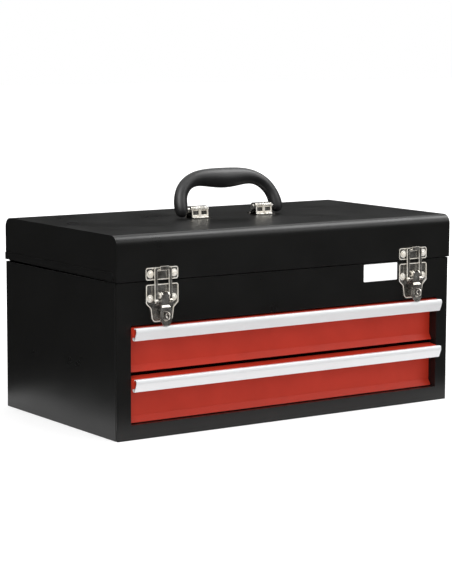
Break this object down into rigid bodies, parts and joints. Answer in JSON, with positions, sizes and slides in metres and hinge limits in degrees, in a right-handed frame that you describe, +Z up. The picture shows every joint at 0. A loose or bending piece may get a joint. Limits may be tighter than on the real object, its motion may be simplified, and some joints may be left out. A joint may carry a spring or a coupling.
{
  "type": "portable tool chest",
  "caption": "Portable steel tool chest with drawers on ball slides, a hinged lid over a top compartment, draw latches and a folding carrying handle.",
  "frame": {"origin": "centre of the flat base of the case, on the surface it stands on", "axes": "+Z up, -Y out of the drawers at the front, +X to the right seen from the front"},
  "size_m": [0.5114, 0.2963, 0.3058],
  "materials": {
    "case_paint": "satin black powder coat",
    "drawer_paint": "satin red powder coat",
    "pull_aluminium": "satin anodised",
    "latch_chrome": "bright plated steel",
    "slide_zinc": "zinc plated steel",
    "ball_steel": "polished steel",
    "grip_plastic": "moulded black plastic"
  },
  "bodies": {
    "case": {"case_wrap": "case_paint", "front_panel": "case_paint", "bottom_pan": "case_paint", "compartment_floor": "case_paint", "slide_upright_left": "case_paint", "slide_upright_right": "case_paint", "slide_outer_lower_left": "slide_zinc", "slide_outer_lower_right": "slide_zinc", "slide_outer_upper_left": "slide_zinc", "slide_outer_upper_right": "slide_zinc", "hinge_leaf_case": "case_paint", "hinge_pin": "slide_zinc", "latch_base_left": "latch_chrome", "latch_base_right": "latch_chrome", "latch_staple_left": "latch_chrome", "latch_staple_right": "latch_chrome", "latch_lever_pin_left": "latch_chrome", "latch_lever_pin_right": "latch_chrome", "latch_base_rivets": "latch_chrome"},
    "lid": {"lid_shell": "case_paint", "lid_end_left": "case_paint", "lid_end_right": "case_paint", "hinge_leaf_lid": "case_paint", "latch_keeper_left": "latch_chrome", "latch_keeper_right": "latch_chrome", "latch_keeper_rivets": "latch_chrome", "handle_bracket_left": "latch_chrome", "handle_bracket_right": "latch_chrome", "handle_bracket_rivets": "latch_chrome"},
    "handle": {"handle_grip": "grip_plastic", "handle_pin_left": "latch_chrome", "handle_pin_right": "latch_chrome"},
    "drawer_upper": {"drawer_tray_upper": "drawer_paint", "drawer_front_upper": "drawer_paint", "drawer_pull_upper": "pull_aluminium", "slide_inner_upper_left": "slide_zinc", "slide_inner_upper_right": "slide_zinc"},
    "cages_upper": {"ball_cages_upper": "slide_zinc", "slide_balls_upper": "ball_steel"},
    "drawer_lower": {"drawer_tray_lower": "drawer_paint", "drawer_front_lower": "drawer_paint", "drawer_pull_lower": "pull_aluminium", "slide_inner_lower_left": "slide_zinc", "slide_inner_lower_right": "slide_zinc"},
    "cages_lower": {"ball_cages_lower": "slide_zinc", "slide_balls_lower": "ball_steel"},
    "lever_left": {"latch_lever_left": "latch_chrome", "latch_loop_pin_left": "latch_chrome"},
    "loop_left": {"latch_loop_left": "latch_chrome"},
    "lever_right": {"latch_lever_right": "latch_chrome", "latch_loop_pin_right": "latch_chrome"},
    "loop_right": {"latch_loop_right": "latch_chrome"}
  },
  "joints": [
    {"name": "lid_hinge", "type": "hinge", "parent": "case", "child": "lid", "pos_m": [0, 0.13756, 0.19071], "axis": [-1, 0, 0], "range_deg": [0, 100]},
    {"name": "handle_swing", "type": "hinge", "parent": "lid", "child": "handle", "pos_m": [0, 0, 0.2545], "axis": [-1, 0, 0], "range_deg": [-107, 63]},
    {"name": "drawer_upper_slide", "type": "slide", "parent": "case", "child": "drawer_upper", "axis": [0, -1, 0], "range_m": [0, 0.185]},
    {"name": "cages_upper_roll", "type": "slide", "parent": "case", "child": "cages_upper", "axis": [0, -1, 0], "range_m": [0, 0.0925]},
    {"name": "drawer_lower_slide", "type": "slide", "parent": "case", "child": "drawer_lower", "axis": [0, -1, 0], "range_m": [0, 0.185]},
    {"name": "cages_lower_roll", "type": "slide", "parent": "case", "child": "cages_lower", "axis": [0, -1, 0], "range_m": [0, 0.0925]},
    {"name": "lever_left_open", "type": "hinge", "parent": "case", "child": "lever_left", "pos_m": [-0.1925, -0.1435, 0.1715], "axis": [-1, 0, 0], "range_deg": [0, 110]},
    {"name": "loop_left_lift", "type": "hinge", "parent": "lever_left", "child": "loop_left", "pos_m": [-0.1925, -0.1425, 0.1645], "axis": [-1, 0, 0], "range_deg": [-96.5, 0]},
    {"name": "lever_right_open", "type": "hinge", "parent": "case", "child": "lever_right", "pos_m": [0.1925, -0.1435, 0.1715], "axis": [-1, 0, 0], "range_deg": [0, 110]},
    {"name": "loop_right_lift", "type": "hinge", "parent": "lever_right", "child": "loop_right", "pos_m": [0.1925, -0.1425, 0.1645], "axis": [-1, 0, 0], "range_deg": [-96.5, 0]}
  ],
  "couplings": [
    {"joint": "cages_upper_roll", "follows": "drawer_upper_slide", "ratio": 0.5},
    {"joint": "cages_lower_roll", "follows": "drawer_lower_slide", "ratio": 0.5},
    {"joint": "loop_left_lift", "follows": "lever_left_open", "ratio": -0.875},
    {"joint": "loop_right_lift", "follows": "lever_right_open", "ratio": -0.875}
  ]
}
